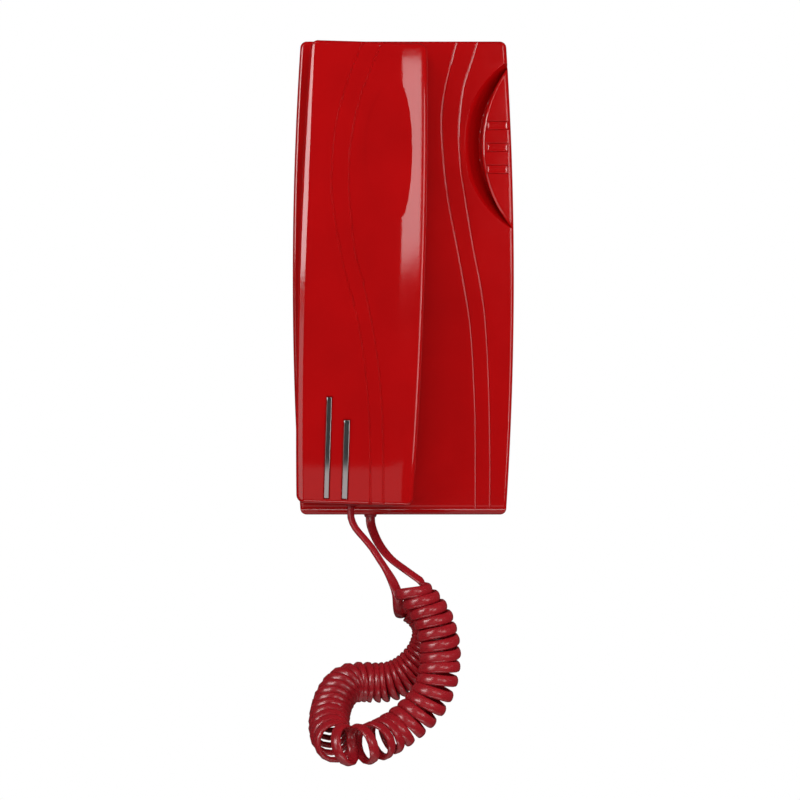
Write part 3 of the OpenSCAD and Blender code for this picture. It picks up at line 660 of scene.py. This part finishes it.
def makeBaseCover():
    plan = basePlan
    face, wall = base["face"], base["wall"]
    cover = outlinePlate("baseCover", barrel(base), 0, face)
    front = -face * mm
    chooseEdges(cover, lambda a, b: abs(a.y - front) < 1e-6 and abs(b.y - front) < 1e-6)
    bpy.ops.mesh.bevel(offset=base["edge"] * mm, segments=6, affect="EDGES")
    bpy.ops.object.mode_set(mode="OBJECT")
    toe, half = base["toe"], base["height"] / 2
    toeBlock = box("toeBlock", (-60, 60), (-half - 1, -half + toe), face - toe, face + 1)
    pickNone()
    bpy.ops.mesh.primitive_cylinder_add(vertices=96, radius=toe * mm, depth=0.13, rotation=(0, pi / 2, 0),
                                        location=(0, -(face - toe) * mm, (-half + toe) * mm))
    cut(toeBlock, settle(named("toeRound")))
    cavity = outlinePlate("cavity", barrel(base, wall), -1, face - wall)
    for r, z in (plan["ear"], plan["mouth"]):
        outline = slotOutline(r + wall, z, plan["wellRise"])
        column = outlinePlate("wellColumn", outline, plan["wellFloor"] - wall, face)
        cut(cavity, placed(column, hung))
    padBack = face - plan["scoopDepth"] - wall
    scoopPad = roundRod("scoopPad", plan["scoopRim"] + 1, *plan["scoopAt"], padBack, face, 96)
    behindLeaf = roundRod("behindLeaf", plan["leafRadius"] - wall, *plan["leafAt"], 0, face + 1, 96)
    cut(cavity, cut(scoopPad, behindLeaf))
    cut(cover, toeBlock, cavity)
    for r, z in (plan["ear"], plan["mouth"]):
        flare, rise = plan["wellFlare"], plan["wellRise"]
        well = outlinePlate("well", slotOutline(r, z, rise), plan["wellFloor"], face + 1)
        flareTool = outlinePlate("wellFlare", slotOutline(r - 0.4, z, rise), face - flare - 0.4,
                                 face + 0.5, slotOutline(r + flare + 0.5, z, rise))
        cut(cover, placed(well, hung), placed(flareTool, hung))
    r, z = plan["plunger"]
    cut(cover, placed(roundRod("plungerHole", r, 0, z, face - 5, face + 1), hung))
    cut(cover, scoopTool())
    x, z = plan["keyAt"]
    across, tall = (size / 2 for size in plan["window"])
    rim, lip = plan["windowFlare"], 0.1
    square = [(-1, -1), (1, -1), (1, 1), (-1, 1)]
    for i in (-1, 0, 1):
        middle = z + i * plan["keyPitch"]
        small = [(x + a * (across - lip), middle + b * (tall - lip)) for a, b in square]
        large = [(x + a * (across + rim + lip), middle + b * (tall + rim + lip)) for a, b in square]
        window = box("window", (x - across, x + across), (middle - tall, middle + tall), 15, face + 1)
        cut(cover, window, outlinePlate("windowFlare", small, face - rim - lip, face + lip, large))
    for points in plan["grooves"]:
        for radius, lift in grooveBeads:
            cut(cover, grooveTool("baseGroove", points, lambda x, z: face + lift, radius))
    for name in ("exitHole", "screwHole"):  # both are in the bottom wall
        radius, deep, holeX, holeY = plan[name]
        pickNone()
        bpy.ops.mesh.primitive_cylinder_add(vertices=48, radius=radius * mm, depth=deep * mm,
                                            location=(holeX * mm, holeY * mm, -half * mm))
        cut(cover, settle(named(name)))
    evenShading(cover, 20)
    dress(cover, shellRed)
    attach(cover, "base")
    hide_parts("base_front_cover")
    return cover


makeBaseCover()
print("base cover done")

handsetPlan = {
    "crown": 0.5, "fallWidth": 13, "fall": 1.35, "leftFace": 3.5, "leftSlope": 0.44,
    "chin": 24, "chinFall": 0.9, "brow": 26, "browFall": 0.5, "cordHole": (2.8, 8, -1.6, -40.8),
    "grooves": [[(-2, 104), (-6.3, 93), (-10.4, 79.8), (-13.5, 66), (-14.7, 47), (-13.7, 30), (-8, 2.7),
                 (-2.7, -15), (1.5, -33), (4.7, -56), (5.9, -71), (7.1, -104)],
                [(6.3, 104), (2.1, 93), (-3.6, 76), (-6.4, 60), (-7.1, 47), (-6.2, 31), (-2.9, 8.2),
                 (1.4, -6.2), (6.7, -29), (9.7, -48), (11.7, -71), (12.8, -104)]],
    "dentAt": (14.9, 55.8), "dentSize": (15.5, 30.6), "dentDepth": 0.62, "dentRise": 0.42, "dentLean": -0.06,
    "bars": [(-12.5, -100.3, -55.6, 2.0), (-4.4, -100.3, -65.5, 2.3)], "barRecess": 1.9, "barGap": 0.5,
}


def handsetDrop(x, z):  # how far the front falls back from its highest level, without the rounded edges
    plan = handsetPlan
    side = sideAt(handset, z)
    right = max(0, (x - (side - plan["fallWidth"])) / plan["fallWidth"])
    low = max(0, (-z - (handset["height"] / 2 - plan["chin"])) / plan["chin"])
    high = max(0, (z - (handset["height"] / 2 - plan["brow"])) / plan["brow"])
    wide = plan["leftFace"] * (0.6 + 0.4 * min(1, (handset["height"] / 2 - z) / 70))
    left = max(0, wide - (x + side))
    left = left ** 2 / 1.2 if left < 0.6 else left - 0.3
    return (plan["crown"] * (x / side) ** 2 + plan["fall"] * right ** 2 + plan["leftSlope"] * left
            + plan["chinFall"] * low ** 2 + plan["browFall"] * high ** 2)


def edgeDrop(x, z):  # the rounded edge: how far the front falls near the outline
    top, r = handset["height"] / 2, handset["corner"]
    side = sideAt(handset, z)
    edge = handset["leftEdge"] if x < 0 else handset["rightEdge"]
    inX, inZ = side - abs(x), top - abs(z)
    if inX < r and inZ < r:
        near = r - sqrt((r - inX) ** 2 + (r - inZ) ** 2)
    else:
        near = min(inX, inZ)
    if inZ < inX:
        share = 1 if inX > r else 0.5
        edge = handset["endEdge"] * share + edge * (1 - share)
    near = min(max(near, 0), edge)
    return edge - sqrt(max(0, edge ** 2 - (edge - near) ** 2))


def spread(low, high, edge, few, many):  # places from low to high, close together near both ends
    start = [low + edge * (1 - cos(pi / 2 * i / few)) for i in range(few)]
    end = [high - edge * (1 - cos(pi / 2 * i / few)) for i in range(few)]
    middle = [low + edge + (high - low - 2 * edge) * i / many for i in range(many + 1)]
    return start + middle + list(reversed(end))


def makeHandsetFront():
    plan = handsetPlan
    top, r = handset["height"] / 2, handset["corner"]
    rows = spread(-top, top, r, 9, 96)
    columns = spread(-1, 1, 0.13, 9, 44)
    pickNone()
    bpy.ops.mesh.primitive_grid_add(x_subdivisions=len(columns) - 1, y_subdivisions=len(rows) - 1, size=1,
                                    rotation=(pi / 2, 0, 0))
    shell = settle(named("handsetFront"))
    for i, spot in enumerate(shell.data.vertices):
        z = rows[i // len(columns)]
        inZ = top - abs(z)
        reach = sideAt(handset, z) - (r - sqrt(max(0, r * r - (r - inZ) ** 2)) if inZ < r else 0)
        x = reach * columns[i % len(columns)]
        spot.co = (x * mm, -(handset["front"] - handsetDrop(x, z) - edgeDrop(x, z)) * mm, z * mm)
    border = (handset["front"] - handset["split"]) * mm
    chooseEdges(shell, lambda a, b: False)
    bpy.ops.mesh.select_all(action="SELECT")
    bpy.ops.mesh.normals_make_consistent(inside=False)
    bpy.ops.mesh.region_to_loop()
    bpy.ops.mesh.extrude_region_move(TRANSFORM_OT_translate={"value": (0, border * 0.5, 0)})
    bpy.ops.transform.resize(value=(1, 0, 1), center_override=(0, -handset["split"] * mm, 0))
    bpy.ops.mesh.select_all(action="SELECT")
    bpy.ops.mesh.normals_make_consistent(inside=False)
    bpy.ops.object.mode_set(mode="OBJECT")
    if sum(face.normal.y * face.area for face in shell.data.polygons) > 0:
        pick(shell)
        bpy.ops.object.mode_set(mode="EDIT")
        bpy.ops.mesh.select_all(action="SELECT")
        bpy.ops.mesh.flip_normals()
        bpy.ops.object.mode_set(mode="OBJECT")
    wall = shell.modifiers.new("wall", "SOLIDIFY")
    wall.thickness = handset["wall"] * mm
    wall.offset = -1
    applyAll(shell)
    clean(shell, outward=False)
    level = handset["front"]
    x, z = plan["dentAt"]
    across, tall = plan["dentSize"]
    pickNone()
    bpy.ops.mesh.primitive_grid_add(x_subdivisions=32, y_subdivisions=48, size=2, rotation=(pi / 2, 0, 0))
    dent = settle(named("dent"))
    for spot in dent.data.vertices:  # a square grid drawn out to an oval, deepest half way up
        u, v = spot.co.x, spot.co.z
        share = v * sqrt(1 - u * u / 2)
        depth = plan["dentDepth"] - plan["dentRise"] * share ** 2 + plan["dentLean"] * share
        aside = x + across * u * sqrt(1 - v * v / 2)
        spot.co = (aside * mm, -(level - depth) * mm, (z + tall * share) * mm)
    pick(dent)
    bpy.ops.object.mode_set(mode="EDIT")
    bpy.ops.mesh.select_all(action="SELECT")
    bpy.ops.mesh.extrude_region_move(TRANSFORM_OT_translate={"value": (0, -6 * mm, 0)})
    bpy.ops.object.mode_set(mode="OBJECT")
    clean(dent)
    cut(shell, dent)
    for points in plan["grooves"]:
        for radius, lift in grooveBeads:
            follow = lambda x, z: level - handsetDrop(x, z) - edgeDrop(x, z) * 0.9 + lift
            cut(shell, grooveTool("handsetGroove", points, follow, radius))
    for barX, low, high, wide in plan["bars"]:
        half = wide / 2 + plan["barGap"]
        cut(shell, box("barSlot", (barX - half, barX + half), (low - plan["barGap"], high + plan["barGap"]),
                       level - plan["barRecess"], level + 1))
    radius, deep, holeX, holeY = plan["cordHole"]
    pickNone()
    bpy.ops.mesh.primitive_cylinder_add(vertices=48, radius=radius * mm, depth=deep * mm,
                                        location=(holeX * mm, holeY * mm, -top * mm))
    cut(shell, settle(named("cordHole")))
    placed(shell, hung)
    evenShading(shell, 20)
    dress(shell, shellRed)
    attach(shell, "handset")
    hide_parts("handset_front_shell")
    return shell


def makeBars():
    plan = handsetPlan
    for name, (x, low, high, wide) in zip(("trim_bar_long", "trim_bar_short"), plan["bars"]):
        half, level = wide / 2, handset["front"]
        bar = box(name + "Bright", (x - half, x + half), (low, high), level - plan["barRecess"], level + 0.25)
        chooseEdges(bar, lambda a, b: abs(a.z - b.z) > 0.01)
        bpy.ops.mesh.subdivide(number_cuts=30)
        bpy.ops.object.mode_set(mode="OBJECT")
        for spot in bar.data.vertices:
            spot.co.y += handsetDrop(x, spot.co.z / mm) * mm
        roundEdges(bar, 0.18 * mm, 2)
        placed(bar, hung)
        evenShading(bar)
        dress(bar, chromeRedReflection)
        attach(bar, "handset")
        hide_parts(name)


makeHandsetFront()
makeBars()
print("handset front done")

keyPlan = {"wide": 9.6, "tall": 3.7, "sink": 0.2, "capBack": 25.7, "flangeFront": 26.5, "stemBack": 22.65,
           "rim": 0.8, "round": 0.25, "dish": 0.15}


def makeKeys():
    x, z = basePlan["keyAt"]
    half, rise = keyPlan["wide"] / 2, keyPlan["tall"] / 2
    front = base["face"] - keyPlan["sink"]
    for name, i in (("key_top", 1), ("key_middle", 0), ("key_bottom", -1)):
        middle = z + i * basePlan["keyPitch"]
        low, high = middle - rise, middle + rise
        key = box(name + "Cap", (x - half, x + half), (low, high), keyPlan["capBack"], front)
        roundEdges(key, keyPlan["round"] * mm, 6)
        level = -front * mm
        chooseFaces(key, lambda face: face.normal.y < -0.99 and abs(face.center.y - level) < 1e-6)
        bpy.ops.mesh.inset(thickness=0.35 * mm, depth=0)
        bpy.ops.mesh.inset(thickness=0.4 * mm, depth=-keyPlan["dish"] * mm)
        bpy.ops.object.mode_set(mode="OBJECT")
        rim = keyPlan["rim"]
        flange = box("flange", (x - half - rim, x), (low - rim, high + rim),
                     keyPlan["capBack"], keyPlan["flangeFront"])
        stem = box("stem", (x - 1.6, x + 1.6), (middle - 1.2, middle + 1.2), keyPlan["stemBack"], 26)
        cut(key, flange, stem, how="UNION")
        evenShading(key, 17)
        dress(key, shellRed)
        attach(key, name)
        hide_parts(name)


makeKeys()
print("keys done")
